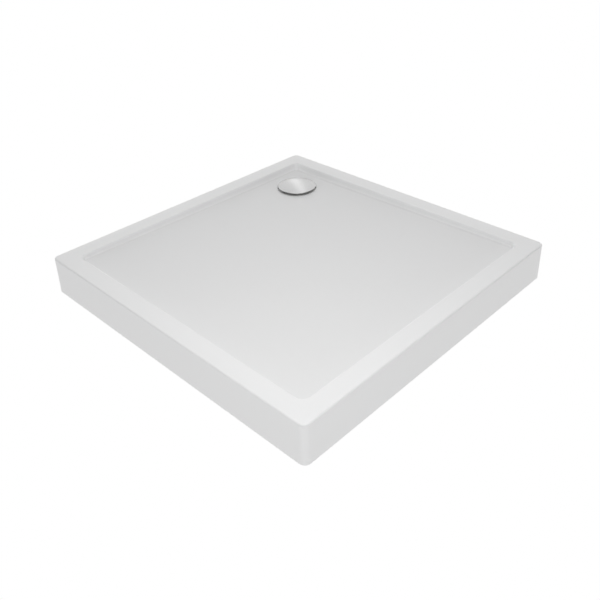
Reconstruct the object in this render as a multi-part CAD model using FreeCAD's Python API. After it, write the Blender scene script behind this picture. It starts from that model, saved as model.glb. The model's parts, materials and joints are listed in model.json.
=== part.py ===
# Square corner-drain shower tray with an integral apron.
#
# Frame: millimetres, +Z up, origin on the floor under the middle of the tray.
# The two show sides face -X and -Y (front corner at -X -Y); the waste is near
# the +X +Y corner, where the two walls of the room meet.
#
# A thin acrylic skin makes the floor, the low walls, the flat rim and the
# apron. A glass-fibre layer backs it, a board bonded under the floor carries
# six screw feet, and four battens stiffen the rim. A low 90 mm waste hangs in
# the hole: flange, seals, housing, water-seal cup, lift-out insert,
# hair strainer and domed cover, and a side outlet with nut, cone seal and tail.
import FreeCAD, Part
import math
import os

V = FreeCAD.Vector

# ---------------------------------------------------------------- dimensions
SIDE = 900.0            # outside, both ways
HEIGHT = 100.0          # top of rim above the floor
CORNER_R = 16.0         # vertical outside corners
EDGE_R = 4.0            # rolled outer top edge
RIM_W = 50.0            # flat rim
BASIN_CORNER_R = 19.0   # basin corners at rim level
LIP_R = 4.0             # rolled inner top edge
DRAFT = 0.25            # run over rise of the basin walls
FOOT_R = 8.0            # cove between wall and floor
DEPTH_DRAIN = 23.0      # rim to the point of the floor's cone, on the waste axis
FALL = 0.013            # the floor falls to the waste from all sides
SKIN = 4.0              # acrylic
GRP = 3.0               # glass fibre and resin
BED = 1.0               # least thickness of the resin bed between the dished floor and the flat board
BOARD = 12.0            # chipboard
BOARD_HALF = 384.0

DRAIN_X = DRAIN_Y = 300.0    # waste axis, 150 from both walls
HOLE_R = 45.0                # 90 mm waste hole
RECESS_R = 58.5
RECESS_Z = 71.0              # top of the skin in the sunk seat of the waste

FLANGE_R = 57.0
FLANGE_T = 2.5
FLANGE_HOLE_R = 31.0
SEAL_UP_T = 1.5
SEAL_LOW_T = 2.0
FLANGE_SCREW_PCR = 38.0

HOUSING_R = 48.0
HOUSING_WALL = 3.0
HOUSING_BOTTOM = 4.0
CUP_R = 33.5
CUP_WALL = 2.5
CUP_TOP = 46.0
CUP_FLOOR = 1.5
OUTLET_Z = 30.0
TAIL_R = 20.0           # 40 mm tail pipe
TAIL_WALL = 2.0
TAIL_X0 = DRAIN_X + 64.0
TAIL_X1 = 440.0
TAIL_STOP = 380.0       # bead that stops the socket of the next pipe

INSERT_R = 24.0
INSERT_WALL = 2.0
INSERT_LOW = 14.0

COVER_R = 58.5
COVER_RIM_TOP = 85.5    # height of the dome's surface at its edge; the water runs in under it
COVER_APEX = 90.7
COVER_T = 1.6

ROD_R = 5.9             # M12
THREAD_BORE_R = 6.0
BALL_R = 7.2
BALL_Z = 9.4
ROD_UP = 6.0            # rod end above the underside of the board
PAD_R = 25.0
PLATE = 70.0
PLATE_T = 2.5
PLATE_SCREW = 26.0      # half spacing of the plate screws
BOSS_T = 9.0
LOCKNUT_T = 7.0
FEET = {
    "front": (-300.0, -300.0),
    "left": (-300.0, 300.0),
    "right": (300.0, -300.0),
    "centre": (0.0, 0.0),
    "back_left": (150.0, 330.0),
    "back_right": (330.0, 150.0),
}

NOTCH_W = 70.0          # pipe notch in the +X apron
NOTCH_TOP = 64.0

BATTEN_W = 30.0
BATTEN_T = 18.0

# ------------------------------------------------------------------- helpers
HALF = SIDE / 2.0
BASIN_HALF = HALF - RIM_W
STEEP = math.sqrt(1.0 + FALL * FALL)
SLOPE = FALL / math.sqrt(2.0)          # of the board, which touches the cone along the tray's diagonal
NORMAL = V(SLOPE, SLOPE, 1.0)
NORMAL.normalize()


def floor_z(x, y, below=0.0):
    """Height of the floor's cone, or of a surface `below` mm under it."""
    return HEIGHT - DEPTH_DRAIN + FALL * math.hypot(x - DRAIN_X, y - DRAIN_Y) - below * STEEP


def plane_z(x, y, below=0.0):
    """Height of the flat plane that touches the cone along the diagonal, or of one `below` mm under it."""
    return HEIGHT - DEPTH_DRAIN - SLOPE * (x - DRAIN_X + y - DRAIN_Y) - below * STEEP


def rounded_wire(hx, hy, r, z, cx=0.0, cy=0.0):
    k = r * (1.0 - math.sqrt(0.5))
    x0, x1, y0, y1 = cx - hx, cx + hx, cy - hy, cy + hy
    p = lambda x, y: V(x, y, z)
    edges = [
        Part.LineSegment(p(x0 + r, y0), p(x1 - r, y0)).toShape(),
        Part.Arc(p(x1 - r, y0), p(x1 - k, y0 + k), p(x1, y0 + r)).toShape(),
        Part.LineSegment(p(x1, y0 + r), p(x1, y1 - r)).toShape(),
        Part.Arc(p(x1, y1 - r), p(x1 - k, y1 - k), p(x1 - r, y1)).toShape(),
        Part.LineSegment(p(x1 - r, y1), p(x0 + r, y1)).toShape(),
        Part.Arc(p(x0 + r, y1), p(x0 + k, y1 - k), p(x0, y1 - r)).toShape(),
        Part.LineSegment(p(x0, y1 - r), p(x0, y0 + r)).toShape(),
        Part.Arc(p(x0, y0 + r), p(x0 + k, y0 + k), p(x0 + r, y0)).toShape(),
    ]
    return Part.Wire(edges)


def prism(hx, hy, r, z0, z1, cx=0.0, cy=0.0):
    return Part.Face(rounded_wire(hx, hy, r, z0, cx, cy)).extrude(V(0, 0, z1 - z0))


def cyl(r, z0, z1, x=0.0, y=0.0):
    return Part.makeCylinder(r, z1 - z0, V(x, y, z0))


def tube(r0, r1, z0, z1, x=0.0, y=0.0):
    return cyl(r1, z0, z1, x, y).cut(cyl(r0, z0 - 1, z1 + 1, x, y))


def hexagon(af, z0, z1):
    r = af / math.sqrt(3.0)
    pts = [V(r * math.cos(math.radians(a)), r * math.sin(math.radians(a)), z0) for a in range(0, 361, 60)]
    return Part.Face(Part.makePolygon(pts)).extrude(V(0, 0, z1 - z0))


def hex_nut(af, z0, z1, bore):
    """Hexagon with both ends chamfered, bored through."""
    rc = af / math.sqrt(3.0)
    h = z1 - z0
    c = (rc - af / 2.0) * 0.6
    cone_lo = Part.makeCone(af / 2.0 * 0.98, af / 2.0 * 0.98 + h / math.tan(math.radians(30)), h, V(0, 0, z0))
    cone_hi = Part.makeCone(af / 2.0 * 0.98 + h / math.tan(math.radians(30)), af / 2.0 * 0.98, h, V(0, 0, z0))
    n = hexagon(af, z0, z1).common(cone_lo).common(cone_hi)
    return n.cut(cyl(bore, z0 - 1, z1 + 1))


def revolve(points, x=0.0, y=0.0, at=None):
    """Closed (r, z) outline turned about the vertical axis. An entry ("arc", mid, end) is an arc."""
    edges = []
    first = V(points[0][0], 0, points[0][1])
    cur = first
    for p in points[1:] + [points[0]]:
        if p[0] == "arc":
            mid, end = V(p[1][0], 0, p[1][1]), V(p[2][0], 0, p[2][1])
            edges.append(Part.Arc(cur, mid, end).toShape())
            cur = end
        else:
            q = V(p[0], 0, p[1])
            if (q - cur).Length > 1e-6:
                edges.append(Part.LineSegment(cur, q).toShape())
            cur = q
    s = Part.Face(Part.Wire(edges)).revolve(V(0, 0, 0), V(0, 0, 1), 360)
    s = Part.Solid(s) if s.ShapeType == "Shell" else s
    s.translate(V(x, y, 0) if at is None else at)
    return s


def group(shapes):
    return Part.Compound(shapes)


def one(shape):
    s = shape.removeSplitter()
    sol = s.Solids
    return sol[0] if len(sol) == 1 else s


# ----------------------------------------------------------- basin and shell
def half_space_above(below):
    """Everything above the board's plane, `below` mm under the cone."""
    b = Part.makeBox(2000, 2000, 400, V(-1000, -1000, 0))
    rot = FreeCAD.Rotation(V(0, 0, 1), NORMAL)
    b.Placement = FreeCAD.Placement(V(0, 0, plane_z(0, 0, below)), rot)
    return b


def cone_above(below):
    """Everything above the floor's cone, `below` mm under it."""
    z0 = floor_z(DRAIN_X, DRAIN_Y, below)
    r = 1400.0
    return revolve([(0.0, z0), (r, z0 + FALL * r), (r, 300.0), (0.0, 300.0)], DRAIN_X, DRAIN_Y)


def basin(offset, top=HEIGHT + 20.0):
    """The hollow of the basin, grown outwards by `offset`."""
    grow = offset * math.sqrt(1.0 + DRAFT * DRAFT)
    low = HEIGHT - DEPTH_DRAIN - 30.0

    def half(z):
        return BASIN_HALF + grow - DRAFT * (HEIGHT - z)

    def square(z):
        h = half(z)
        return Part.makePolygon([V(-h, -h, z), V(h, -h, z), V(h, h, z), V(-h, h, z), V(-h, -h, z)])

    def rounded(z):
        return rounded_wire(half(z), half(z), half(z) - BASIN_HALF + BASIN_CORNER_R, z)

    body = Part.makeLoft([square(low), square(top)], True, True).common(cone_above(offset))
    foot = [e for e in body.Edges
            if max(e.BoundBox.XLength, e.BoundBox.YLength) > 50.0 and e.BoundBox.ZMax < HEIGHT - 4.0
            and all(abs(v.Z - floor_z(v.X, v.Y, offset)) < 2e-3 and max(abs(v.X), abs(v.Y)) > BASIN_HALF - 20.0
                    for v in e.Vertexes)]
    body = body.makeFillet(FOOT_R + offset, foot)
    return body.common(Part.makeLoft([rounded(low), rounded(top)], True, True))


def tub(offset):
    """Everything the basin and the sunk seat of the waste take away, grown outwards by `offset`."""
    seat = cyl(RECESS_R + offset, RECESS_Z - offset, floor_z(DRAIN_X, DRAIN_Y) + 12.0, DRAIN_X, DRAIN_Y)
    return basin(offset).fuse(seat)


def under_space(offset, corner):
    """The room inside the apron and under the basin, `offset` in from the outside."""
    block = prism(HALF - offset, HALF - offset, corner, -5.0, HEIGHT - offset)
    return block.cut(tub(offset))


def outer_block():
    b = prism(HALF, HALF, CORNER_R, 0.0, HEIGHT)
    top = [e for e in b.Edges if all(abs(v.Z - HEIGHT) < 1e-6 for v in e.Vertexes)]
    return b.makeFillet(EDGE_R, top)


def notch(grow=0.0):
    """Arched pipe opening through the +X apron, open at the floor."""
    w = NOTCH_W / 2.0 + grow
    top = NOTCH_TOP + grow
    r = 14.0
    c = r * math.sqrt(0.5)
    p = lambda y, z: V(HALF - 30.0, DRAIN_Y + y, z)
    edges = [
        Part.LineSegment(p(-w, -5), p(-w, top - r)).toShape(),
        Part.Arc(p(-w, top - r), p(-w + r - c, top - r + c), p(-w + r, top)).toShape(),
        Part.LineSegment(p(-w + r, top), p(w - r, top)).toShape(),
        Part.Arc(p(w - r, top), p(w - r + c, top - r + c), p(w, top - r)).toShape(),
        Part.LineSegment(p(w, top - r), p(w, -5)).toShape(),
        Part.LineSegment(p(w, -5), p(-w, -5)).toShape(),
    ]
    return Part.Face(Part.Wire(edges)).extrude(V(60, 0, 0))


def tray_shell():
    body = outer_block().cut(tub(0.0))
    lip = [e for e in body.Edges
           if all(abs(v.Z - HEIGHT) < 1e-6 for v in e.Vertexes)
           and all(abs(v.X) < BASIN_HALF + 1 and abs(v.Y) < BASIN_HALF + 1 for v in e.Vertexes)]
    body = body.makeFillet(LIP_R, lip)
    # eased edge where the floor drops into the sunk seat of the waste
    seat = []
    for e in body.Edges:
        bb = e.BoundBox
        if (abs(bb.XLength - 2 * RECESS_R) < 0.5 and abs(bb.YLength - 2 * RECESS_R) < 0.5
                and abs(bb.Center.x - DRAIN_X) < 1 and bb.ZMax > RECESS_Z + 2):
            seat.append(e)
    if seat:
        body = body.makeFillet(2.0, seat)
    body = body.cut(under_space(SKIN, CORNER_R - SKIN))
    body = body.cut(cyl(HOLE_R, 40, 120, DRAIN_X, DRAIN_Y))
    body = body.cut(notch())
    return one(body)


def fibreglass_backing():
    outer = under_space(SKIN, CORNER_R - SKIN)
    inner = under_space(SKIN + GRP, CORNER_R - SKIN - GRP)
    body = outer.cut(inner)
    body = body.cut(Part.makeBox(1000, 1000, 26, V(-500, -500, -20)))     # stops 6 mm above the floor
    body = body.cut(cyl(HOLE_R, 40, 120, DRAIN_X, DRAIN_Y)).cut(notch(2.0))
    return one(body)


def foot_frame(name):
    """Placement with its origin on the underside of the board and its Z square to the board."""
    x, y = FEET[name]
    rot = FreeCAD.Rotation(V(0, 0, 1), NORMAL)
    return FreeCAD.Placement(V(x, y, plane_z(x, y, SKIN + GRP + BED + BOARD)), rot)


def placed(shape, name):
    s = shape.copy()
    s.Placement = foot_frame(name)
    return s


def screw_spots():
    return [(sx * PLATE_SCREW, sy * PLATE_SCREW) for sx in (-1, 1) for sy in (-1, 1)]


def board_outline():
    """Upright prism of the board's outline, with the corner round the waste cut away."""
    c = 220.0
    return prism(BOARD_HALF, BOARD_HALF, 34.0, -60.0, 200.0).cut(prism(150.0, 150.0, 25.0, -70.0, 210.0, c + 150.0, c + 150.0))


def resin_bed():
    """Fills the gap between the dished underside and the flat board."""
    bed = half_space_above(SKIN + GRP + BED).common(board_outline())
    return one(bed.cut(cone_above(SKIN + GRP)))


def base_board():
    slab = half_space_above(SKIN + GRP + BED + BOARD).cut(half_space_above(SKIN + GRP + BED))
    slab = slab.common(board_outline())
    for name in FEET:
        cut = cyl(7.5, -5.0, BOARD + 5.0)
        for x, y in screw_spots():
            cut = cut.fuse(cyl(2.05, -5.0, 10.4, x, y))
        slab = slab.cut(placed(cut, name))
    return one(slab)


def rim_batten(side):
    """A timber strip bonded under the rim; the pair along X butt between the pair along Y."""
    z1 = HEIGHT - SKIN - GRP
    z0 = z1 - BATTEN_T
    x1 = HALF - SKIN - GRP - 2.0
    x0 = x1 - BATTEN_W
    long_half = x1 - 4.0          # clear of the rounded corner of the backing
    short_half = x0
    if side == "back_right":      # along Y at +X
        b = Part.makeBox(BATTEN_W, 2 * long_half, BATTEN_T, V(x0, -long_half, z0))
    elif side == "front_left":    # along Y at -X
        b = Part.makeBox(BATTEN_W, 2 * long_half, BATTEN_T, V(-x1, -long_half, z0))
    elif side == "back_left":     # along X at +Y
        b = Part.makeBox(2 * short_half, BATTEN_W, BATTEN_T, V(-short_half, x0, z0))
    else:                         # along X at -Y
        b = Part.makeBox(2 * short_half, BATTEN_W, BATTEN_T, V(-short_half, -x1, z0))
    return b.makeChamfer(1.0, [e for e in b.Edges if abs(e.Vertexes[0].Z - z0) < 1e-6 and abs(e.Vertexes[-1].Z - z0) < 1e-6])


# ---------------------------------------------------------------------- feet
def leg_plate():
    p = prism(PLATE / 2, PLATE / 2, 6.0, -PLATE_T, 0.0)
    boss = hexagon(19.0, -PLATE_T - BOSS_T, -PLATE_T)
    cone = Part.makeCone(9.4, 9.4 + BOSS_T / math.tan(math.radians(30)), BOSS_T, V(0, 0, -PLATE_T - BOSS_T))
    p = p.fuse(boss.common(cone))
    p = p.cut(cyl(THREAD_BORE_R, -30, 5))
    for x, y in screw_spots():
        p = p.cut(cyl(2.4, -10, 5, x, y))
    return p.removeSplitter()


def plate_screw():
    """Pan-head wood screw, cross recess, head under the plate."""
    head = revolve([(0.0, -PLATE_T), (4.0, -PLATE_T), (4.0, -PLATE_T - 1.2), ("arc", (3.0, -PLATE_T - 2.2), (0.0, -PLATE_T - 2.6))])
    shank = cyl(1.9, -PLATE_T, 8.0)
    tip = Part.makeCone(1.9, 0.4, 2.2, V(0, 0, 8.0))
    s = head.fuse(shank).fuse(tip)
    for a in (0, 90):
        b = Part.makeBox(4.2, 0.9, 1.6, V(-2.1, -0.45, -PLATE_T - 3.0))
        b.rotate(V(0, 0, 0), V(0, 0, 1), a)
        s = s.cut(b)
    return s


def lock_nut():
    return hex_nut(19.0, -PLATE_T - BOSS_T - LOCKNUT_T, -PLATE_T - BOSS_T, THREAD_BORE_R)


def ball_point(name):
    """Middle of the rod's ball, and the distance up the rod from there to the board."""
    pl = foot_frame(name)
    drop = (pl.Base.z - BALL_Z) / NORMAL.z
    return pl.Base - NORMAL * drop, drop


def leveling_rod(name):
    centre, drop = ball_point(name)
    rod = cyl(ROD_R, 0.0, drop + ROD_UP)
    rod = rod.makeChamfer(0.8, [e for e in rod.Edges if abs(e.BoundBox.ZMin - drop - ROD_UP) < 1e-6 and e.Closed])
    collar = hexagon(15.0, 9.5, 15.5)
    ball = Part.makeSphere(BALL_R)
    ball = ball.cut(Part.makeBox(40, 40, 40, V(-20, -20, -40 - BALL_R + 1.0)))
    s = rod.fuse(collar).fuse(ball)
    # screwdriver slot in the top end, reached through the board from above before the tray is lined
    s = s.cut(Part.makeBox(14, 1.6, 2.0, V(-7, -0.8, drop + ROD_UP - 2.0)))
    s.Placement = FreeCAD.Placement(centre, FreeCAD.Rotation(V(0, 0, 1), NORMAL))
    return one(s)


def foot_pad(name):
    centre, _ = ball_point(name)
    pad = revolve([(0.0, 0.0), (PAD_R - 1.0, 0.0), (PAD_R, 1.0), (PAD_R, 3.6), ("arc", (PAD_R - 0.4, 4.6), (PAD_R - 1.4, 5.0)),
                   (15.0, 6.6), ("arc", (12.6, 8.0), (11.6, 10.6)), (11.2, 15.0), (10.4, 15.8), (0.0, 15.8)])
    pad = pad.cut(Part.makeSphere(BALL_R + 0.35, V(0, 0, BALL_Z)))
    pad = pad.cut(cyl(6.7, BALL_Z, 20.0))
    # four ribs between the hub and the base
    for a in range(0, 360, 45):
        rib = Part.makeBox(11.0, 1.6, 4.0, V(11.0, -0.8, 4.5))
        wedge = Part.Face(Part.makePolygon([V(11.2, 0.8, 4.0), V(22.0, 0.8, 4.0), V(22.0, 0.8, 5.4), V(11.4, 0.8, 12.5), V(11.2, 0.8, 4.0)])).extrude(V(0, -1.6, 0))
        wedge.rotate(V(0, 0, 0), V(0, 0, 1), a)
        pad = pad.fuse(wedge)
    pad = pad.removeSplitter()
    pad.translate(V(centre.x, centre.y, 0))
    return one(pad)


# --------------------------------------------------------------------- waste
Z_FLANGE0 = RECESS_Z + SEAL_UP_T
Z_FLANGE1 = Z_FLANGE0 + FLANGE_T
Z_GRP = RECESS_Z - SKIN - GRP          # underside of the backing at the waste
Z_HOUSING_TOP = Z_GRP - SEAL_LOW_T
SPOTS = [math.radians(a) for a in (90, 210, 330)]


def at_drain(s):
    s.translate(V(DRAIN_X, DRAIN_Y, 0))
    return s


def waste_flange():
    s = revolve([(FLANGE_HOLE_R, Z_FLANGE0), (FLANGE_R, Z_FLANGE0), (FLANGE_R, Z_FLANGE1 - 1.2),
                 ("arc", (FLANGE_R - 0.35, Z_FLANGE1 - 0.35), (FLANGE_R - 1.2, Z_FLANGE1)),
                 (FLANGE_HOLE_R + 0.5, Z_FLANGE1), (FLANGE_HOLE_R, Z_FLANGE1 - 0.5)])
    skirt = revolve([(40.6, Z_GRP - 1.0), (43.6, Z_GRP - 1.0), (43.6, Z_FLANGE0 + 0.5), (40.6, Z_FLANGE0 + 0.5)])
    for a in SPOTS:    # skirt is open where the bosses stand
        skirt = skirt.cut(cyl(7.2, Z_GRP - 5, Z_FLANGE0, FLANGE_SCREW_PCR * math.cos(a), FLANGE_SCREW_PCR * math.sin(a)))
    s = s.fuse(skirt)
    for a in SPOTS:
        x, y = FLANGE_SCREW_PCR * math.cos(a), FLANGE_SCREW_PCR * math.sin(a)
        s = s.cut(cyl(2.7, 60, 90, x, y))
        s = s.cut(Part.makeCone(2.7, 4.9, 2.2, V(x, y, Z_FLANGE1 - 2.2)))
        s = s.cut(cyl(4.9, Z_FLANGE1, Z_FLANGE1 + 2, x, y))
    return at_drain(one(s))


def flange_screw(a):
    x, y = FLANGE_SCREW_PCR * math.cos(a), FLANGE_SCREW_PCR * math.sin(a)
    z1 = Z_FLANGE1 - 0.1
    s = Part.makeCone(2.4, 4.6, 2.2, V(0, 0, z1 - 2.2)).fuse(cyl(2.4, 46.0, z1 - 2.0))
    for k in (0, 90):
        b = Part.makeBox(5.0, 1.0, 1.5, V(-2.5, -0.5, z1 - 1.2))
        b.rotate(V(0, 0, 0), V(0, 0, 1), k + 20)
        s = s.cut(b)
    s.translate(V(x, y, 0))
    return at_drain(one(s))


def trap_housing():
    zt = Z_HOUSING_TOP
    body = revolve([(0.0, HOUSING_BOTTOM), (HOUSING_R - 4.0, HOUSING_BOTTOM), ("arc", (HOUSING_R - 1.2, HOUSING_BOTTOM + 1.2), (HOUSING_R, HOUSING_BOTTOM + 4.0)),
                    (HOUSING_R, zt - 4.0), (FLANGE_R + 1.0, zt - 4.0), (FLANGE_R + 1.0, zt), (HOUSING_R - HOUSING_WALL, zt),
                    (HOUSING_R - HOUSING_WALL, HOUSING_BOTTOM + 3.0), (0.0, HOUSING_BOTTOM + 3.0)])
    for a in SPOTS:
        x, y = FLANGE_SCREW_PCR * math.cos(a), FLANGE_SCREW_PCR * math.sin(a)
        boss = cyl(4.3, 40.0, Z_GRP + 5.0, x, y)
        web = Part.makeBox(8.0, 6.0, zt - 40.0, V(FLANGE_SCREW_PCR, -3.0, 40.0))
        web.rotate(V(0, 0, 0), V(0, 0, 1), math.degrees(a))
        body = body.fuse(boss).fuse(web)
    # ribs under the flange
    for k in range(0, 360, 30):
        if k in (0, 330, 30):
            continue
        rib = Part.Face(Part.makePolygon([V(HOUSING_R - 0.5, 0.9, zt - 4.0), V(HOUSING_R + 7.5, 0.9, zt - 4.0), V(HOUSING_R - 0.5, 0.9, zt - 16.0), V(HOUSING_R - 0.5, 0.9, zt - 4.0)])).extrude(V(0, -1.8, 0))
        rib.rotate(V(0, 0, 0), V(0, 0, 1), k)
        body = body.fuse(rib)
    # outlet branch along +X, ending in the cone seat; the nut turns on its plain end
    ax = lambda r, x0, x1: Part.makeCylinder(r, x1 - x0, V(x0, 0, OUTLET_Z), V(1, 0, 0))
    branch = ax(24.0, 40.0, 72.0).fuse(ax(25.2, 40.0, 58.0))
    body = body.fuse(branch)
    body = body.cut(Part.makeCylinder(HOUSING_R - HOUSING_WALL, 42.0, V(0, 0, HOUSING_BOTTOM + 3.0)).cut(cyl(CUP_R, 0, CUP_TOP)).cut(
        group([cyl(4.3, 40.0, 80.0, FLANGE_SCREW_PCR * math.cos(a), FLANGE_SCREW_PCR * math.sin(a)) for a in SPOTS])).common(
        Part.makeBox(40, 60, 42, V(30, -30, HOUSING_BOTTOM + 3.0))))
    body = body.cut(ax(18.0, 36.0, 76.0))
    body = body.fuse(tube(CUP_R + 0.1, CUP_R + 2.1, HOUSING_BOTTOM + 2.5, HOUSING_BOTTOM + 4.8))
    body = body.cut(ax(TAIL_R + 0.3, 63.0, 76.0))
    body = body.cut(Part.makeCone(TAIL_R + 0.3, 22.8, 4.0, V(68.1, 0, OUTLET_Z), V(1, 0, 0)))
    for a in SPOTS:
        body = body.cut(cyl(2.45, 44.0, 90.0, FLANGE_SCREW_PCR * math.cos(a), FLANGE_SCREW_PCR * math.sin(a)))
    return at_drain(one(body))


def trap_cup():
    """Cup that holds the water seal; it stands in the low ring on the housing's floor."""
    z0 = HOUSING_BOTTOM + 3.0
    s = revolve([(0.0, z0), (CUP_R, z0), (CUP_R, CUP_TOP - 1.2), ("arc", (CUP_R - CUP_WALL / 2, CUP_TOP - 1.2 + CUP_WALL / 2), (CUP_R - CUP_WALL, CUP_TOP - 1.2)),
                 (CUP_R - CUP_WALL, z0 + CUP_FLOOR), (0.0, z0 + CUP_FLOOR)])
    return at_drain(one(s))


def flat_seal(z0, z1, r0, r1):
    s = tube(r0, r1, z0, z1)
    return at_drain(s)


def outlet_nut():
    ax = lambda r, x0, x1: Part.makeCylinder(r, x1 - x0, V(x0, 0, OUTLET_Z), V(1, 0, 0))
    s = ax(27.5, 59.6, 77.6)
    s = s.makeFillet(1.5, [e for e in s.Edges if e.Closed and e.BoundBox.XLength < 1e-6])
    for k in range(0, 360, 30):
        flute = Part.makeCylinder(3.2, 30, V(56, 0, OUTLET_Z + 29.7), V(1, 0, 0))
        flute.rotate(V(0, 0, OUTLET_Z), V(1, 0, 0), k)
        s = s.cut(flute)
    s = s.cut(ax(24.35, 56.0, 73.0)).cut(ax(TAIL_R + 0.6, 66.0, 86.0))
    return at_drain(one(s))


def outlet_seal():
    """Cone ring squeezed between the nut and the branch, round the tail pipe."""
    s = Part.makeCone(20.58, 22.55, 3.4, V(68.6, 0, OUTLET_Z), V(1, 0, 0))
    s = s.fuse(Part.makeCylinder(23.2, 0.9, V(72.0, 0, OUTLET_Z), V(1, 0, 0)))
    s = s.cut(Part.makeCylinder(TAIL_R + 0.02, 20, V(61, 0, OUTLET_Z), V(1, 0, 0)))
    return at_drain(one(s))


def tail_pipe():
    x0, x1 = TAIL_X0, TAIL_X1
    s = Part.makeCylinder(TAIL_R, x1 - x0, V(x0, DRAIN_Y, OUTLET_Z), V(1, 0, 0))
    s = s.makeChamfer(0.8, [e for e in s.Edges if e.Closed and abs(e.BoundBox.XMin - x1) < 1e-6])
    bead = Part.makeCylinder(TAIL_R + 2.0, 2.0, V(TAIL_STOP, DRAIN_Y, OUTLET_Z), V(1, 0, 0))
    s = s.fuse(bead.makeFillet(0.7, [e for e in bead.Edges if e.BoundBox.XLength < 1e-6]))
    return s.cut(Part.makeCylinder(TAIL_R - TAIL_WALL, x1 - x0 + 2, V(x0 - 1, DRAIN_Y, OUTLET_Z), V(1, 0, 0)))


Z_INS = Z_FLANGE1            # underside of the insert's collar, on the flange
INS_T = 1.6


def trap_insert():
    """Lift-out tube that dips into the cup, with a collar on the flange and a groove for its ring."""
    ri = INSERT_R - INSERT_WALL
    s = revolve([(ri, INSERT_LOW), (INSERT_R, INSERT_LOW), (INSERT_R, Z_INS - 11.0), (29.8, Z_INS - 7.6), (29.8, Z_INS - 5.8), (28.0, Z_INS - 5.8), (28.0, Z_INS - 2.6), (29.8, Z_INS - 2.6),
                 (29.8, Z_INS - 1.0), (30.4, Z_INS), (34.0, Z_INS), (34.0, Z_INS + INS_T - 0.4), (33.6, Z_INS + INS_T),
                 (28.6, Z_INS + INS_T), (27.2, Z_INS - 1.8), (26.6, Z_INS - 5.4), (ri, Z_INS - 8.0)])
    # two finger lugs inside, to draw it out by
    for a in (0, 180):
        lug = Part.makeBox(6.0, 10.0, 2.2, V(17.0, -5.0, Z_INS - 13.0))
        lug.rotate(V(0, 0, 0), V(0, 0, 1), a + 45)
        s = s.fuse(lug.cut(cyl(17.5, 50, 80)).common(cyl(ri + 0.5, 50, 80)))
    return at_drain(one(s))


def insert_ring():
    s = Part.makeTorus(29.45, 1.43, V(0, 0, Z_INS - 4.2))
    return at_drain(s)


Z_STR = Z_INS + INS_T
STR_T = 1.4


def hair_strainer():
    """Pierced disc on the insert, with a skirt that centres it and a knob to lift it by."""
    s = revolve([(0.0, Z_STR), (33.2, Z_STR), (33.2, Z_STR + STR_T - 0.5), (32.7, Z_STR + STR_T), (0.0, Z_STR + STR_T)])
    skirt = tube(23.6, 25.2, Z_INS - 3.0, Z_STR + 0.4)
    s = s.fuse(skirt)
    for ring_r, n, w, ln in ((8.5, 6, 2.6, 4.4), (14.5, 12, 2.6, 5.2), (20.4, 18, 2.6, 4.2)):
        for k in range(n):
            slot = prism(ln / 2.0, w / 2.0, w / 2.0 - 0.01, 70.0, 90.0, ring_r, 0.0)
            slot.rotate(V(0, 0, 0), V(0, 0, 1), 360.0 * k / n + (180.0 / n if ring_r == 14.5 else 0))
            s = s.cut(slot)
    knob = revolve([(0.0, Z_STR + STR_T - 0.2), (3.2, Z_STR + STR_T - 0.2), (2.4, Z_STR + STR_T + 1.6), (4.2, Z_STR + STR_T + 2.4), (4.2, Z_STR + STR_T + 3.0), (3.6, Z_STR + STR_T + 3.4), (0.0, Z_STR + STR_T + 3.4)])
    s = s.fuse(knob)
    return at_drain(one(s))


Z_CAR = Z_STR + STR_T
DOME_RISE = COVER_APEX - COVER_RIM_TOP
DOME_R = (COVER_R ** 2 + DOME_RISE ** 2) / (2 * DOME_RISE)


def dome_z(r, below=0.0):
    return COVER_APEX - DOME_R + math.sqrt((DOME_R - below) ** 2 - r * r)


def waste_cover():
    """Shallow chromed dome, one even sheet with a rounded edge."""
    t = COVER_T
    r = COVER_R
    m = r * 0.5
    edge = dome_z(r - 1.2)
    low = dome_z(r - 2.0, t)
    s = revolve([
        (0.0, COVER_APEX),
        ("arc", (m, dome_z(m)), (r - 1.2, edge)),
        ("arc", (r - 0.3, edge - 0.3), (r, edge - 1.0)),
        (r, low + 0.2),
        (r - 0.2, low),
        (r - 2.0, low),
        ("arc", (m, dome_z(m, t)), (0.0, dome_z(0, t))),
    ])
    return at_drain(one(s))


def cover_carrier():
    """Plastic ring with six spokes snapped under the dome; it stands on the strainer."""
    ring = tube(27.5, 31.0, Z_CAR, 95.0)
    for k in range(6):
        spoke = Part.makeBox(24.0, 2.0, 30.0, V(30.0, -1.0, Z_CAR + 2.4))
        spoke.rotate(V(0, 0, 0), V(0, 0, 1), 60.0 * k)
        ring = ring.fuse(spoke)
    # windows that let water through the ring
    for k in range(6):
        w = Part.makeBox(14.0, 12.0, 2.2, V(22.0, -6.0, Z_CAR + 0.9))
        w.rotate(V(0, 0, 0), V(0, 0, 1), 60.0 * k + 30)
        ring = ring.cut(w)
    under = Part.makeSphere(DOME_R - COVER_T, V(0, 0, COVER_APEX - DOME_R))
    ring = ring.common(under)
    return at_drain(one(ring))


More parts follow.
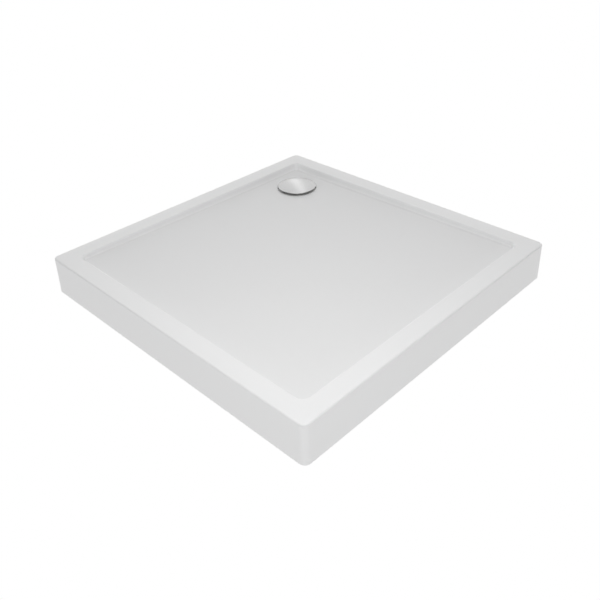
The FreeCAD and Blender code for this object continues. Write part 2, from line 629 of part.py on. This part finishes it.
# -------------------------------------------------------------------- export
PIECES = {
    "tray_shell": tray_shell,
    "fibreglass_backing": fibreglass_backing,
    "resin_bed": resin_bed,
    "base_board": base_board,
    "leg_plates": lambda: group([placed(leg_plate(), n) for n in FEET]),
    "lock_nuts": lambda: group([placed(lock_nut(), n) for n in FEET]),
    "waste_flange": waste_flange,
    "upper_seal": lambda: flat_seal(RECESS_Z, Z_FLANGE0, 46.0, FLANGE_R),
    "lower_seal": lambda: flat_seal(Z_HOUSING_TOP, Z_GRP, 46.0, FLANGE_R),
    "flange_screws": lambda: group([flange_screw(a) for a in SPOTS]),
    "trap_housing": trap_housing,
    "trap_cup": trap_cup,
    "outlet_nut": outlet_nut,
    "outlet_seal": outlet_seal,
    "tail_pipe": tail_pipe,
    "trap_insert": trap_insert,
    "insert_ring": insert_ring,
    "hair_strainer": hair_strainer,
    "cover_carrier": cover_carrier,
    "waste_cover": waste_cover,
}
for side in ("front_left", "front_right", "back_left", "back_right"):
    PIECES["rim_batten_" + side] = lambda side=side: rim_batten(side)
for foot in FEET:
    PIECES["leveling_rod_" + foot] = lambda foot=foot: leveling_rod(foot)
    PIECES["foot_pad_" + foot] = lambda foot=foot: foot_pad(foot)


def plate_screws():
    out = []
    one_screw = plate_screw()
    for n in FEET:
        for x, y in screw_spots():
            s = one_screw.copy()
            s.translate(V(x, y, 0))
            out.append(s.transformed(foot_frame(n).toMatrix()))
    return group(out)


PIECES["plate_screws"] = plate_screws


def main():
    os.makedirs("parts", exist_ok=True)
    for name, make in PIECES.items():
        s = make()
        ok = s.isValid() and all(x.isClosed() for x in s.Solids)
        print("%-26s solids %2d  valid %s  volume %.1f" % (name, len(s.Solids), ok, sum(x.Volume for x in s.Solids)))
        s.exportStep(os.path.join("parts", name + ".step"))


main()
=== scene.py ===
# Looks of the square corner-drain shower tray: own meshes for the six threaded
# rods, procedural materials everywhere, a plain white floor and soft studio light.
import json
import math

import bmesh
import bpy
from mathutils import Matrix, Quaternion, Vector


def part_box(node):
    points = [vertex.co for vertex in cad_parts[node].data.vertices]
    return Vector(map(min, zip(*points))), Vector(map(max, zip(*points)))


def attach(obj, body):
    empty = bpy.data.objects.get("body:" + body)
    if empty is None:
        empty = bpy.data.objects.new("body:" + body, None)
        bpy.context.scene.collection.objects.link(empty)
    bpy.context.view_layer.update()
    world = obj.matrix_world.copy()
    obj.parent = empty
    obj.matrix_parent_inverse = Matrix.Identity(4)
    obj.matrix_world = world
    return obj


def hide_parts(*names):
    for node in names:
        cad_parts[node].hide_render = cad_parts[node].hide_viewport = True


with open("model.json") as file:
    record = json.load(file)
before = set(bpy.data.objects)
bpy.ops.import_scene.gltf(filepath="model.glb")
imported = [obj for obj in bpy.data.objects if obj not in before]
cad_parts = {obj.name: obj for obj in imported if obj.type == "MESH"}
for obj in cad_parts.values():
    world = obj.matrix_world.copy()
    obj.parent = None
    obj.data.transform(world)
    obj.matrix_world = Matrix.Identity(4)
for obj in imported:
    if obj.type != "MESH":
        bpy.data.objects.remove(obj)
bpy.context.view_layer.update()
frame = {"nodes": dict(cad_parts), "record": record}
nodes = frame["nodes"]
scene = bpy.context.scene

# ------------------------------------------------------------------ materials


def new_material(name):
    m = bpy.data.materials.new(name)
    m.use_nodes = True
    nt = m.node_tree
    for n in list(nt.nodes):
        nt.nodes.remove(n)
    out = nt.nodes.new("ShaderNodeOutputMaterial")
    bsdf = nt.nodes.new("ShaderNodeBsdfPrincipled")
    nt.links.new(bsdf.outputs["BSDF"], out.inputs["Surface"])
    coord = nt.nodes.new("ShaderNodeTexCoord")
    return m, nt, bsdf, coord


def put(bsdf, **values):
    for key, value in values.items():
        bsdf.inputs[key.replace("_", " ")].default_value = value


def mapping(nt, coord, scale=(1, 1, 1), rotation=(0, 0, 0), location=(0, 0, 0)):
    n = nt.nodes.new("ShaderNodeMapping")
    n.inputs["Scale"].default_value = scale
    n.inputs["Rotation"].default_value = rotation
    n.inputs["Location"].default_value = location
    nt.links.new(coord.outputs["Object"], n.inputs["Vector"])
    return n.outputs["Vector"]


def noise(nt, vector, scale, detail=4.0, rough=0.5, distortion=0.0):
    n = nt.nodes.new("ShaderNodeTexNoise")
    n.inputs["Scale"].default_value = scale
    n.inputs["Detail"].default_value = detail
    n.inputs["Roughness"].default_value = rough
    n.inputs["Distortion"].default_value = distortion
    nt.links.new(vector, n.inputs["Vector"])
    return n.outputs["Fac"]


def voronoi(nt, vector, scale, feature="F1", output="Color", randomness=1.0):
    n = nt.nodes.new("ShaderNodeTexVoronoi")
    n.feature = feature
    n.inputs["Scale"].default_value = scale
    n.inputs["Randomness"].default_value = randomness
    nt.links.new(vector, n.inputs["Vector"])
    return n.outputs[output]


def ramp(nt, fac, stops, interpolation="LINEAR"):
    n = nt.nodes.new("ShaderNodeValToRGB")
    cr = n.color_ramp
    cr.interpolation = interpolation
    while len(cr.elements) < len(stops):
        cr.elements.new(0.5)
    for e, (pos, col) in zip(cr.elements, stops):
        e.position = pos
        e.color = (*col, 1.0) if len(col) == 3 else col
    nt.links.new(fac, n.inputs["Fac"])
    return n.outputs["Color"]


def grey(v):
    return (v, v, v)


def remap(nt, fac, lo, hi, out_lo, out_hi):
    n = nt.nodes.new("ShaderNodeMapRange")
    n.inputs["From Min"].default_value = lo
    n.inputs["From Max"].default_value = hi
    n.inputs["To Min"].default_value = out_lo
    n.inputs["To Max"].default_value = out_hi
    nt.links.new(fac, n.inputs["Value"])
    return n.outputs["Result"]


def math_node(nt, op, a, b=None):
    n = nt.nodes.new("ShaderNodeMath")
    n.operation = op
    for i, v in enumerate((a, b)):
        if v is None:
            continue
        if isinstance(v, (int, float)):
            n.inputs[i].default_value = v
        else:
            nt.links.new(v, n.inputs[i])
    return n.outputs[0]


def mix(nt, fac, a, b, blend="MIX"):
    n = nt.nodes.new("ShaderNodeMix")
    n.data_type = "RGBA"
    n.blend_type = blend
    if isinstance(fac, (int, float)):
        n.inputs[0].default_value = fac
    else:
        nt.links.new(fac, n.inputs[0])
    for sock, v in ((n.inputs[6], a), (n.inputs[7], b)):
        if isinstance(v, tuple):
            sock.default_value = (*v, 1.0) if len(v) == 3 else v
        else:
            nt.links.new(v, sock)
    return n.outputs[2]


def bump(nt, bsdf, height, strength, distance, under=None):
    n = nt.nodes.new("ShaderNodeBump")
    n.inputs["Strength"].default_value = strength
    n.inputs["Distance"].default_value = distance
    nt.links.new(height, n.inputs["Height"])
    if under is not None:
        nt.links.new(under, n.inputs["Normal"])
    nt.links.new(n.outputs["Normal"], bsdf.inputs["Normal"])
    return n.outputs["Normal"]


def xyz(nt, vector):
    n = nt.nodes.new("ShaderNodeSeparateXYZ")
    nt.links.new(vector, n.inputs[0])
    return n.outputs


def white_acrylic():
    """Vacuum-formed sanitary acrylic with a gloss, the floor's grain coarser. The basin walls are painted lighter
    (painted light) and the apron and the floor a shade darker (painted shade) than the rim; the real moulding is one
    colour.
    """
    m, nt, b, c = new_material("white_acrylic")
    place = mapping(nt, c)
    geo = nt.nodes.new("ShaderNodeNewGeometry")
    at = xyz(nt, place)
    facing = xyz(nt, geo.outputs["Normal"])
    low = remap(nt, at[2], 0.0925, 0.0945, 1.0, 0.0)
    floor_shade_and_grain_mask = math_node(nt, "MULTIPLY", low, remap(nt, facing[2], 0.55, 0.85, 0.0, 1.0))
    out = math_node(nt, "MAXIMUM", math_node(nt, "ABSOLUTE", at[0]), math_node(nt, "ABSOLUTE", at[1]))
    upright = remap(nt, facing[2], 0.45, 0.85, 1.0, 0.0)
    apron_painted_shade_mask = math_node(nt, "MULTIPLY", remap(nt, out, 0.425, 0.435, 0.0, 1.0), upright)
    wall_painted_light_mask = math_node(nt, "MULTIPLY", remap(nt, out, 0.425, 0.435, 1.0, 0.0), upright)
    wide = noise(nt, place, 2.6, 2.0)
    haze = noise(nt, place, 26.0, 5.0, 0.6)
    lo, hi = (0.886, 0.887, 0.888), (0.896, 0.897, 0.898)

    def tone(k):
        return mix(nt, wide, tuple(v * k for v in lo), tuple(v * k for v in hi))

    # painted shade: the basin floor a shade darker than the rim (its mask also raises roughness)
    col = mix(nt, floor_shade_and_grain_mask, tone(1.0), tone(FLOOR_PAINTED_SHADE))
    # painted shade: the apron a shade darker than the rim
    col = mix(nt, apron_painted_shade_mask, col, tone(APRON_PAINTED_SHADE))
    # painted light: the basin walls lighter than the rim
    nt.links.new(mix(nt, wall_painted_light_mask, col, tone(WALL_PAINTED_LIGHT)), b.inputs["Base Color"])
    polish = remap(nt, haze, 0.3, 0.7, 0.34, 0.39)
    nt.links.new(math_node(nt, "ADD", polish, math_node(nt, "MULTIPLY", floor_shade_and_grain_mask, 0.12)), b.inputs["Roughness"])
    put(b, IOR=1.49, Specular_IOR_Level=0.4)
    bump(nt, b, noise(nt, place, 7.0, 1.0), 0.03, 0.002)
    return m


def glass_fibre():
    """Chopped strands rolled out in resin: a tangle of short pale fibres in three directions, lumpy and half shiny."""
    m, nt, b, c = new_material("glass_fibre")
    total = None
    for k, (angle, sc) in enumerate(((0.35, 1.0), (1.4, 1.12), (2.5, 0.93), (3.6, 1.05))):
        warp = noise(nt, mapping(nt, c, (60, 4, 20), (0, 0, angle), (3.1 * k, 0, 0)), 9.0 * sc, 2.0, 0.5, 0.6)
        line = ramp(nt, warp, ((0.47, grey(0.0)), (0.52, grey(1.0)), (0.57, grey(0.0))))
        total = line if total is None else mix(nt, 1.0, total, line, "LIGHTEN")
    lump = noise(nt, mapping(nt, c), 45.0, 5.0, 0.6)
    tint = mix(nt, lump, (0.60, 0.585, 0.46), (0.74, 0.73, 0.62))
    nt.links.new(mix(nt, total, tint, (0.86, 0.86, 0.80)), b.inputs["Base Color"])
    nt.links.new(remap(nt, lump, 0.3, 0.7, 0.28, 0.6), b.inputs["Roughness"])
    put(b, IOR=1.55, Coat_Weight=0.35, Coat_Roughness=0.2)
    w = bump(nt, b, lump, 0.6, 0.0012)
    bump(nt, b, total, 0.5, 0.0004, under=w)
    return m


def cured_resin():
    """Poured filler: dull beige with fine pores."""
    m, nt, b, c = new_material("cured_resin")
    pores = voronoi(nt, mapping(nt, c), 320.0, "F1", "Distance")
    cloud = noise(nt, mapping(nt, c), 30.0, 4.0)
    nt.links.new(mix(nt, cloud, (0.56, 0.52, 0.40), (0.68, 0.64, 0.52)), b.inputs["Base Color"])
    put(b, Roughness=0.62)
    bump(nt, b, pores, 0.4, 0.0006)
    return m


def chipboard():
    """Pressed wood chips: flakes of mixed browns lying flat, fine fuzz between them."""
    m, nt, b, c = new_material("chipboard")
    warp = nt.nodes.new("ShaderNodeVectorMath")
    warp.operation = "MULTIPLY_ADD"
    vec = mapping(nt, c, (1.0, 1.0, 1.0))
    wob = nt.nodes.new("ShaderNodeTexNoise")
    wob.inputs["Scale"].default_value = 140.0
    nt.links.new(vec, wob.inputs["Vector"])
    nt.links.new(wob.outputs["Color"], warp.inputs[0])
    warp.inputs[1].default_value = (0.006, 0.006, 0.006)
    nt.links.new(vec, warp.inputs[2])
    flakes = voronoi(nt, warp.outputs["Vector"], 260.0, "F1", "Color")
    small = voronoi(nt, warp.outputs["Vector"], 620.0, "F1", "Color")
    sep = nt.nodes.new("ShaderNodeSeparateColor")
    nt.links.new(flakes, sep.inputs[0])
    sep2 = nt.nodes.new("ShaderNodeSeparateColor")
    nt.links.new(small, sep2.inputs[0])
    big = ramp(nt, sep.outputs[0], ((0.0, (0.36, 0.23, 0.12)), (0.2, (0.52, 0.36, 0.20)), (0.55, (0.63, 0.47, 0.28)), (0.85, (0.72, 0.57, 0.37)), (1.0, (0.42, 0.28, 0.15))))
    tiny = ramp(nt, sep2.outputs[1], ((0.0, (0.48, 0.33, 0.18)), (0.5, (0.66, 0.50, 0.31)), (1.0, (0.76, 0.62, 0.42))))
    nt.links.new(mix(nt, 0.45, big, tiny), b.inputs["Base Color"])
    nt.links.new(remap(nt, sep.outputs[1], 0.0, 1.0, 0.62, 0.85), b.inputs["Roughness"])
    edge = voronoi(nt, warp.outputs["Vector"], 260.0, "DISTANCE_TO_EDGE", "Distance")
    w = bump(nt, b, edge, 0.35, 0.0006)
    bump(nt, b, noise(nt, vec, 1500.0, 3.0), 0.3, 0.0002, under=w)
    return m


def timber(name, along):
    """Sawn softwood: long grain with growth rings, saw marks across."""
    m, nt, b, c = new_material(name)
    sc = (1.2, 14.0, 30.0) if along == "X" else (14.0, 1.2, 30.0)
    vec = mapping(nt, c, sc)
    rings = nt.nodes.new("ShaderNodeTexWave")
    rings.wave_type = "BANDS"
    rings.bands_direction = "Y" if along == "X" else "X"
    rings.inputs["Scale"].default_value = 3.2
    rings.inputs["Distortion"].default_value = 5.5
    rings.inputs["Detail"].default_value = 3.0
    rings.inputs["Detail Scale"].default_value = 0.9
    nt.links.new(vec, rings.inputs["Vector"])
    fibre = noise(nt, mapping(nt, c, (6, 420, 420) if along == "X" else (420, 6, 420)), 1.0, 5.0, 0.6)
    base = ramp(nt, rings.outputs["Fac"], ((0.0, (0.52, 0.33, 0.17)), (0.35, (0.70, 0.50, 0.29)), (1.0, (0.79, 0.62, 0.40))))
    nt.links.new(mix(nt, remap(nt, fibre, 0.3, 0.7, 0.0, 0.35), base, (0.47, 0.31, 0.17)), b.inputs["Base Color"])
    put(b, Roughness=0.74)
    w = bump(nt, b, fibre, 0.35, 0.0004)
    bump(nt, b, noise(nt, mapping(nt, c, (240, 4, 4) if along == "X" else (4, 240, 4)), 1.0, 1.0), 0.25, 0.0003, under=w)
    return m


def zinc_steel():
    """Bright zinc plate: bluish steel with a faint spangle and handling marks."""
    m, nt, b, c = new_material("zinc_steel")
    spangle = noise(nt, mapping(nt, c), 160.0, 4.0, 0.6)
    stain = noise(nt, mapping(nt, c), 22.0, 3.0)
    col = mix(nt, stain, (0.60, 0.625, 0.66), (0.72, 0.725, 0.70))
    nt.links.new(col, b.inputs["Base Color"])
    nt.links.new(remap(nt, spangle, 0.3, 0.7, 0.24, 0.44), b.inputs["Roughness"])
    put(b, Metallic=1.0)
    bump(nt, b, spangle, 0.12, 0.0001)
    return m


def moulded(name, colour, rough, grain=1100.0, coat=0.0, vary=0.04, translucent=0.0):
    """Injection-moulded plastic with a fine spark-eroded grain."""
    m, nt, b, c = new_material(name)
    cloud = noise(nt, mapping(nt, c), 18.0, 3.0)
    lo = tuple(max(0.0, v * (1.0 - vary)) for v in colour)
    hi = tuple(min(1.0, v * (1.0 + vary)) for v in colour)
    nt.links.new(mix(nt, cloud, lo, hi), b.inputs["Base Color"])
    scuff = noise(nt, mapping(nt, c), 70.0, 6.0, 0.65)
    nt.links.new(remap(nt, scuff, 0.3, 0.7, rough - 0.06, rough + 0.08), b.inputs["Roughness"])
    put(b, IOR=1.5, Coat_Weight=coat)
    if translucent:
        put(b, Subsurface_Weight=translucent, Subsurface_Scale=0.003)
    bump(nt, b, noise(nt, mapping(nt, c), grain, 2.0), 0.25, 0.00012)
    return m


def pipe_plastic():
    """Extruded pipe: faint draw lines along the axis."""
    m, nt, b, c = new_material("pipe_plastic")
    lines = noise(nt, mapping(nt, c, (3, 900, 900)), 1.0, 3.0)
    nt.links.new(mix(nt, lines, (0.80, 0.80, 0.785), (0.86, 0.86, 0.85)), b.inputs["Base Color"])
    put(b, Roughness=0.33, IOR=1.53)
    bump(nt, b, lines, 0.2, 0.00008)
    return m


def rubber():
    m, nt, b, c = new_material("seal_rubber")
    bloom = noise(nt, mapping(nt, c), 60.0, 5.0)
    nt.links.new(mix(nt, bloom, (0.018, 0.018, 0.019), (0.045, 0.045, 0.047)), b.inputs["Base Color"])
    put(b, Roughness=0.68, IOR=1.52)
    bump(nt, b, noise(nt, mapping(nt, c), 1400.0, 2.0), 0.3, 0.0001)
    return m


def ringed_metal(name, centre, colour, rough, spread, strength, anisotropic=0.0):
    """Metal turned or spun about an upright axis: fine rings round the centre."""
    m, nt, b, c = new_material(name)
    vec = mapping(nt, c, location=(-centre[0], -centre[1], 0.0))
    flat = nt.nodes.new("ShaderNodeVectorMath")
    flat.operation = "MULTIPLY"
    flat.inputs[1].default_value = (1.0, 1.0, 0.0)
    nt.links.new(vec, flat.inputs[0])
    ln = nt.nodes.new("ShaderNodeVectorMath")
    ln.operation = "LENGTH"
    nt.links.new(flat.outputs["Vector"], ln.inputs[0])
    comb = nt.nodes.new("ShaderNodeCombineXYZ")
    nt.links.new(ln.outputs["Value"], comb.inputs[0])
    rings = noise(nt, comb.outputs["Vector"], 2600.0, 4.0, 0.7)
    haze = noise(nt, mapping(nt, c), 45.0, 4.0)
    nt.links.new(mix(nt, haze, tuple(v * 0.975 for v in colour), colour), b.inputs["Base Color"])
    nt.links.new(remap(nt, rings, 0.3, 0.7, rough - spread, rough + spread), b.inputs["Roughness"])
    put(b, Metallic=1.0)
    bump(nt, b, rings, strength, 0.00002)
    return m


DRAIN = (0.300, 0.300)
# painted shade on the basin floor: colour factor below one
FLOOR_PAINTED_SHADE = 0.92
# painted shade on the apron: colour factor below one
APRON_PAINTED_SHADE = 0.94
# painted light on the basin walls: colour factor above one
WALL_PAINTED_LIGHT = 1.09
M = {
    "acrylic": white_acrylic(),
    "fibre": glass_fibre(),
    "resin": cured_resin(),
    "chipboard": chipboard(),
    "timber_x": timber("timber_x", "X"),
    "timber_y": timber("timber_y", "Y"),
    "zinc": zinc_steel(),
    "foot": moulded("foot_plastic", (0.022, 0.022, 0.024), 0.5, 900.0, vary=0.25),
    "waste_metal": ringed_metal("waste_metal", DRAIN, (0.80, 0.80, 0.79), 0.42, 0.07, 0.12),
    "rubber": rubber(),
    "trap": moulded("trap_plastic", (0.80, 0.80, 0.785), 0.36, 1300.0, 0.1, 0.02),
    "pipe": pipe_plastic(),
    "insert": moulded("insert_plastic", (0.80, 0.80, 0.79), 0.42, 1200.0, 0.0, 0.06),
    "chrome": ringed_metal("chrome", DRAIN, (0.645, 0.645, 0.645), 0.23, 0.03, 0.05),
}

PAINT = {
    "tray_shell": "acrylic",
    "fibreglass_backing": "fibre",
    "resin_bed": "resin",
    "base_board": "chipboard",
    "rim_batten_front_left": "timber_y",
    "rim_batten_back_right": "timber_y",
    "rim_batten_front_right": "timber_x",
    "rim_batten_back_left": "timber_x",
    "leg_plates": "zinc",
    "plate_screws": "zinc",
    "lock_nuts": "zinc",
    "waste_flange": "trap",
    "flange_screws": "waste_metal",
    "upper_seal": "rubber",
    "lower_seal": "rubber",
    "insert_ring": "rubber",
    "outlet_seal": "rubber",
    "trap_housing": "trap",
    "trap_cup": "trap",
    "outlet_nut": "trap",
    "tail_pipe": "pipe",
    "trap_insert": "insert",
    "hair_strainer": "insert",
    "cover_carrier": "insert",
    "waste_cover": "chrome",
}
for name, o in nodes.items():
    if name.startswith("leveling_rod"):
        key = "zinc"
    elif name.startswith("foot_pad"):
        key = "foot"
    else:
        key = PAINT[name]
    o.data.materials.clear()
    o.data.materials.append(M[key])

# ------------------------------------------------------------- threaded rods
# Each levelling rod as one closed mesh lofted ring by ring from the ball up:
# ball, neck, hexagon collar, rolled M12 thread with a lead-in, slotted end.
AROUND = 48
PITCH = 0.00175
CREST, ROOT, NECK = 0.0059, 0.0048, 0.0050
BALL = 0.0072
COLLAR = 0.0150


def ring(bm, z, radius, turn=False):
    """One ring of vertices; `radius` is a number or a function of the angle. With turn, z climbs one pitch in a turn."""
    out = []
    for k in range(AROUND):
        t = 2.0 * math.pi * k / AROUND
        r = radius(t) if callable(radius) else radius
        zz = z + PITCH * k / AROUND if turn else z
        out.append(bm.verts.new((r * math.cos(t), r * math.sin(t), zz)))
    return out


def skin(bm, lower, upper, step=0):
    for k in range(AROUND):
        n = (k + 1) % AROUND
        bm.faces.new((lower[k], lower[n], upper[n], upper[k]))


def hex_radius(across, most):
    def radius(t):
        off = (math.degrees(t) + 30.0) % 60.0 - 30.0
        side_r = across / 2.0 / math.cos(math.radians(30.0 - abs(off)))
        return min(side_r, most)
    return radius


def threaded_rod(name, length):
    """Rod of `length` from the middle of its ball to its slotted end."""
    bm = bmesh.new()
    rows = [ring(bm, -BALL + 0.001, math.sqrt(BALL ** 2 - (BALL - 0.001) ** 2))]
    bm.faces.new(list(reversed(rows[0])))
    low, high = math.degrees(math.asin((-BALL + 0.001) / BALL)), math.degrees(math.acos(NECK / BALL))
    for i in range(1, 13):
        a = math.radians(low + (high - low) * i / 12.0)
        rows.append(ring(bm, BALL * math.sin(a), BALL * math.cos(a)))
    rows.append(ring(bm, 0.0088, NECK))
    rows.append(ring(bm, 0.0095, NECK + 0.0005))
    rows.append(ring(bm, 0.0095, 0.0071))
    rows.append(ring(bm, 0.0100, hex_radius(COLLAR, 0.0084)))
    rows.append(ring(bm, 0.0150, hex_radius(COLLAR, 0.0084)))
    rows.append(ring(bm, 0.0155, 0.0071))
    rows.append(ring(bm, 0.0155, ROOT + 0.0003))
    rows.append(ring(bm, 0.0162, ROOT))
    for a, b in zip(rows, rows[1:]):
        skin(bm, a, b)

    # the thread: rows that climb one pitch in a turn, so crest and root edges are true helices
    first, last = 0.0164, length - 0.0008
    profile = ((0.0, CREST), (0.125, CREST), (0.5, ROOT), (0.625, ROOT))
    helix = []
    n = int((last - first) / PITCH) + 2
    for j in range(-1, n):
        for part_way, r in profile:
            helix.append((first + (j + part_way) * PITCH, r))
    previous = None
    grid = []
    for z, r in helix:
        row = []
        for k in range(AROUND + 1):
            t = 2.0 * math.pi * k / AROUND
            zz = z + PITCH * k / AROUND
            # the crest grows out of the root over the first turn and dies out over the last millimetre
            grow = max(0.0, min(1.0, (zz - first) / PITCH, (last - zz) / 0.0010))
            rr = ROOT + (r - ROOT) * grow
            zz = min(max(zz, first), last)
            row.append((rr * math.cos(t), rr * math.sin(t), zz))
        grid.append(row)
    verts = [[bm.verts.new(p) for p in row] for row in grid]
    for a, b in zip(verts, verts[1:]):
        for k in range(AROUND):
            bm.faces.new((a[k], a[k + 1], b[k + 1], b[k]))
    bmesh.ops.remove_doubles(bm, verts=bm.verts, dist=1e-6)
    bmesh.ops.dissolve_degenerate(bm, edges=bm.edges, dist=1e-6)

    # join the run-out groove below to the thread, and close the slotted end above
    def circle_at(z, r):
        near = [v for v in bm.verts if abs(v.co.z - z) < 1e-7 and abs(v.co.xy.length - r) < 1e-6]
        return sorted(near, key=lambda v: math.atan2(v.co.y, v.co.x))
    lower, upper = circle_at(0.0162, ROOT), circle_at(first, ROOT)
    for k in range(len(lower)):
        n2 = (k + 1) % len(lower)
        bm.faces.new((lower[k], lower[n2], upper[n2], upper[k]))
    end = circle_at(last, ROOT)
    tip = [bm.verts.new((v.co.x * 0.94, v.co.y * 0.94, length)) for v in end]
    for k in range(len(end)):
        n2 = (k + 1) % len(end)
        bm.faces.new((end[k], end[n2], tip[n2], tip[k]))
    bm.faces.new(tip)
    bmesh.ops.recalc_face_normals(bm, faces=bm.faces)
    for f in bm.faces:
        f.smooth = False
    me = bpy.data.meshes.new(name)
    bm.to_mesh(me)
    bm.free()
    rod = bpy.data.objects.new(name, me)
    scene.collection.objects.link(rod)

    # the screwdriver slot across the end
    cb = bmesh.new()
    bmesh.ops.create_cube(cb, size=1.0, matrix=Matrix.Translation((0, 0, length - 0.001)) @ Matrix.Diagonal((0.014, 0.0016, 0.002 + 2e-5, 1.0)))
    for v in cb.verts:
        if v.co.z > length - 0.001:
            v.co.z = length + 0.001
    cme = bpy.data.meshes.new(name + "_slot")
    cb.to_mesh(cme)
    cb.free()
    cutter = bpy.data.objects.new(name + "_slot", cme)
    scene.collection.objects.link(cutter)
    cut = rod.modifiers.new("slot", "BOOLEAN")
    cut.operation = "DIFFERENCE"
    cut.solver = "EXACT"
    cut.object = cutter
    bpy.context.view_layer.update()
    done = bpy.data.meshes.new_from_object(rod.evaluated_get(bpy.context.evaluated_depsgraph_get()))
    rod.modifiers.clear()
    rod.data = done
    bpy.data.objects.remove(cutter)
    return rod


for joint in frame["record"]["behaviour"]["joints"]:
    if not joint["name"].startswith("rod_turn_"):
        continue
    foot = joint["name"][len("rod_turn_"):]
    node = "leveling_rod_" + foot
    centre = Vector(joint["pos_m"])
    upward = -Vector(joint["axis"]).normalized()
    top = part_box(node)[1][2]
    rod = threaded_rod("threaded_rod_" + foot, (top - centre.z - 6e-5) / upward.z)
    turn = Vector((0, 0, 1)).rotation_difference(upward)
    rod.data.transform(Matrix.Translation(centre) @ turn.to_matrix().to_4x4())
    rod.data.materials.clear()
    rod.data.materials.append(M["zinc"])
    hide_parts(node)
    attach(rod, "rod_" + foot)

# --------------------------------------------------------------------- camera
AZ, EL, ROLL = math.radians(-45.24595), math.radians(27.73736), math.radians(-1.52276)
back = Vector((math.sin(AZ) * math.cos(EL), -math.cos(AZ) * math.cos(EL), math.sin(EL)))
right = (-back).cross(Vector((0, 0, 1))).normalized()
up = right.cross(-back)
r2 = right * math.cos(ROLL) + up * math.sin(ROLL)
u2 = up * math.cos(ROLL) - right * math.sin(ROLL)
cam_data = bpy.data.cameras.new("camera")
cam = bpy.data.objects.new("camera", cam_data)
scene.collection.objects.link(cam)
cam.matrix_world = Matrix(((r2.x, u2.x, back.x, -1.150146), (r2.y, u2.y, back.y, -1.148139), (r2.z, u2.z, back.z, 1.054593), (0, 0, 0, 1)))
cam_data.sensor_width = 36.0
cam_data.lens = 43.707
cam_data.shift_y = -0.14
cam_data.clip_start, cam_data.clip_end = 0.01, 100.0
scene.camera = cam

# ---------------------------------------------------------------------- light
scene.view_settings.view_transform = "Standard"
scene.view_settings.look = "None"


def area(name, where, at, size, power, size_y=None, spread=180.0):
    d = bpy.data.lights.new(name, "AREA")
    d.shape = "RECTANGLE"
    d.size, d.size_y = size, size_y or size
    d.energy = power
    d.spread = math.radians(spread)
    o = bpy.data.objects.new(name, d)
    scene.collection.objects.link(o)
    o.location = where
    o.rotation_mode = "QUATERNION"
    o.rotation_quaternion = (Vector(at) - Vector(where)).to_track_quat("-Z", "Y")
    return o


# The room: an even dim white, a white backdrop behind the two far sides and
# a dimmer one on the viewer's side, both up to about 50 degrees.
ROOM = 0.102
BACKDROP = 0.8
FRONT = 0.411
world = bpy.data.worlds.new("studio")
scene.world = world
world.use_nodes = True
wt = world.node_tree
way = wt.nodes.new("ShaderNodeTexCoord")
part = xyz(wt, way.outputs["Generated"])
toward = math_node(wt, "ADD", math_node(wt, "MULTIPLY", part[0], 0.7071), math_node(wt, "MULTIPLY", part[1], 0.7071))
far = math_node(wt, "MULTIPLY", remap(wt, toward, 0.15, 0.55, 0.0, 1.0), BACKDROP)
near = math_node(wt, "MULTIPLY", remap(wt, toward, -0.15, -0.55, 0.0, 1.0), FRONT)
height = remap(wt, part[2], 0.76, 0.91, 1.0, 0.0)
sheets = math_node(wt, "MULTIPLY", math_node(wt, "ADD", far, near), height)
wt.links.new(math_node(wt, "ADD", sheets, ROOM), wt.nodes["Background"].inputs[1])
wt.nodes["Background"].inputs[0].default_value = (1, 1, 1, 1)

area("overhead", (0.0, 0.0, 2.4), (0.0, 0.001, 0.0), 2.4, 22.1)
area("front_pool", (-0.3, -0.3, 1.8), (-0.3, -0.301, 0.0), 1.0, 0.25, spread=70.0)
area("front_wash", (-0.9, -0.9, 1.2), (-0.35, -0.35, 0.0), 0.7, 0.84, spread=70.0)

# a slim window of light in the backdrop, for the streak across the waste cover
look = Vector((0.3, 0.3, 0.09))
ends = []
for turn, rise in ((-2.6, 8.0), (11.0, 56.0)):
    a, e = math.radians(45.0 - turn), math.radians(rise)
    ends.append(look + 2.6 * Vector((math.cos(e) * math.cos(a), math.cos(e) * math.sin(a), math.sin(e))))
mid = (ends[0] + ends[1]) / 2.0
tall = (ends[1] - ends[0]).normalized()
ahead = (look - mid).normalized()
wide = tall.cross(-ahead).normalized()
strip = area("streak_window", mid, look, 0.22, 0.58, size_y=(ends[1] - ends[0]).length)
strip.rotation_quaternion = Matrix((wide, tall, wide.cross(tall))).transposed().to_quaternion()

bm = bmesh.new()
bmesh.ops.create_grid(bm, x_segments=1, y_segments=1, size=12.0)
me = bpy.data.meshes.new("floor")
bm.to_mesh(me)
bm.free()
floor = bpy.data.objects.new("floor", me)
floor.location.z = -0.0005
scene.collection.objects.link(floor)
fm = bpy.data.materials.new("floor_white")
fm.use_nodes = True
nt = fm.node_tree
for n in list(nt.nodes):
    nt.nodes.remove(n)
fo = nt.nodes.new("ShaderNodeOutputMaterial")
fe = nt.nodes.new("ShaderNodeEmission")
fe.inputs["Color"].default_value = (1, 1, 1, 1)
fe.inputs["Strength"].default_value = 1.0
nt.links.new(fe.outputs[0], fo.inputs["Surface"])
floor.data.materials.append(fm)
